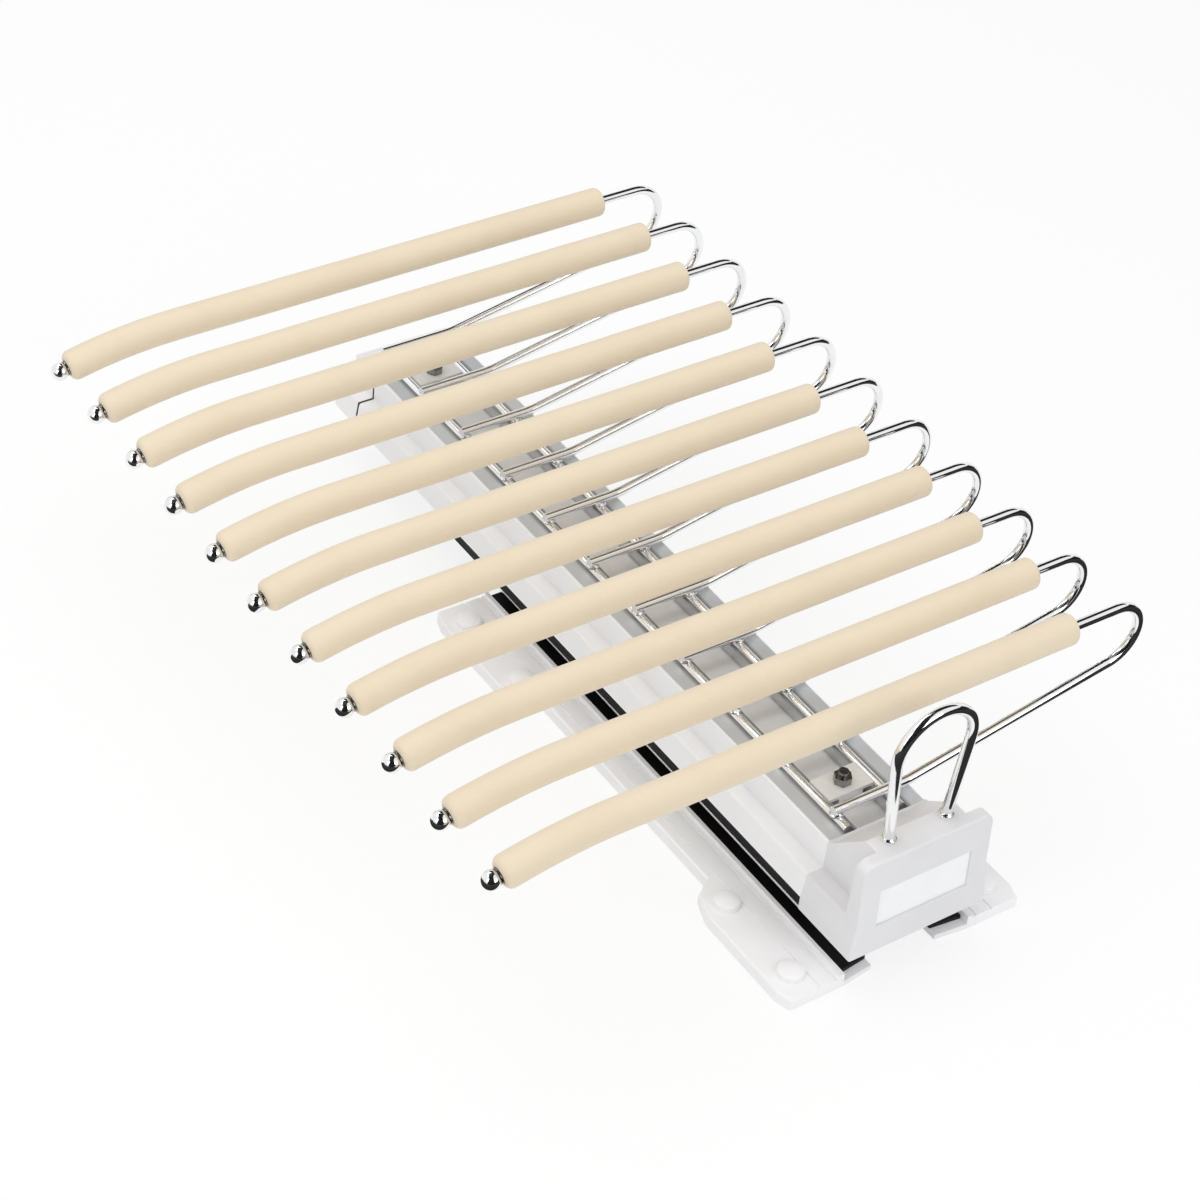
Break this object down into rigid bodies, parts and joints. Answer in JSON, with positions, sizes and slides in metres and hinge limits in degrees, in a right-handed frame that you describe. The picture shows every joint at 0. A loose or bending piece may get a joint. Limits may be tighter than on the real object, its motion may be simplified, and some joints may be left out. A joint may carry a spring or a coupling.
{
  "type": "pull out trouser rack",
  "caption": "Pull-out trouser rack: hairpin wire arms with foam sleeves on a sliding carriage with a loop handle, on a screw-down base with ball slides.",
  "frame": {"origin": "middle of the mounting holes, on the base's mounting face", "axes": "+Z away from the mounting face, X along the arms with the ball tips at -X, the rack pulls out along -Y"},
  "size_m": [0.3709, 0.462, 0.1484],
  "materials": {
    "white_plastic": "fine satin moulded plastic",
    "carriage_paint": "light grey coated extrusion",
    "label_plastic": "smooth blank insert",
    "chrome_wire": "bright plated wire",
    "slide_steel": "black-coated rolled strip",
    "retainer_steel": "bright strip with steel balls",
    "clamp_steel": "bright pressed plate",
    "dark_steel": "blackened fasteners",
    "sleeve_foam": "beige closed-cell foam tube"
  },
  "bodies": {
    "base": {"base_plate": "white_plastic", "fixed_rail_left": "slide_steel", "fixed_rail_right": "slide_steel", "fixed_rail_rivets": "slide_steel"},
    "retainer_left": {"ball_retainer_left": "retainer_steel"},
    "retainer_right": {"ball_retainer_right": "retainer_steel"},
    "carriage": {"moving_rail_left": "slide_steel", "moving_rail_right": "slide_steel", "moving_rail_screws": "dark_steel", "carriage_profile": "carriage_paint", "front_cap": "white_plastic", "label_plate": "label_plastic", "pull_handle": "chrome_wire", "handle_ferrules": "chrome_wire", "rear_cap": "white_plastic", "wire_rod_left": "chrome_wire", "wire_rod_right": "chrome_wire", "rod_clamp_front": "clamp_steel", "rod_clamp_rear": "clamp_steel", "clamp_bolts": "dark_steel", "tip_washers": "dark_steel", "arm_wire_01": "chrome_wire", "arm_sleeve_01": "sleeve_foam", "arm_tip_01": "chrome_wire", "arm_wire_02": "chrome_wire", "arm_sleeve_02": "sleeve_foam", "arm_tip_02": "chrome_wire", "arm_wire_03": "chrome_wire", "arm_sleeve_03": "sleeve_foam", "arm_tip_03": "chrome_wire", "arm_wire_04": "chrome_wire", "arm_sleeve_04": "sleeve_foam", "arm_tip_04": "chrome_wire", "arm_wire_05": "chrome_wire", "arm_sleeve_05": "sleeve_foam", "arm_tip_05": "chrome_wire", "arm_wire_06": "chrome_wire", "arm_sleeve_06": "sleeve_foam", "arm_tip_06": "chrome_wire", "arm_wire_07": "chrome_wire", "arm_sleeve_07": "sleeve_foam", "arm_tip_07": "chrome_wire", "arm_wire_08": "chrome_wire", "arm_sleeve_08": "sleeve_foam", "arm_tip_08": "chrome_wire", "arm_wire_09": "chrome_wire", "arm_sleeve_09": "sleeve_foam", "arm_tip_09": "chrome_wire", "arm_wire_10": "chrome_wire", "arm_sleeve_10": "sleeve_foam", "arm_tip_10": "chrome_wire", "arm_wire_11": "chrome_wire", "arm_sleeve_11": "sleeve_foam", "arm_tip_11": "chrome_wire"}
  },
  "joints": [
    {"name": "pull_out", "type": "slide", "parent": "base", "child": "carriage", "axis": [0, -1, 0], "range_m": [0, 0.19]},
    {"name": "retainer_left_roll", "type": "slide", "parent": "base", "child": "retainer_left", "axis": [0, -1, 0], "range_m": [0, 0.095]},
    {"name": "retainer_right_roll", "type": "slide", "parent": "base", "child": "retainer_right", "axis": [0, -1, 0], "range_m": [0, 0.095]}
  ],
  "couplings": [
    {"joint": "retainer_left_roll", "follows": "pull_out", "ratio": 0.5},
    {"joint": "retainer_right_roll", "follows": "pull_out", "ratio": 0.5}
  ]
}
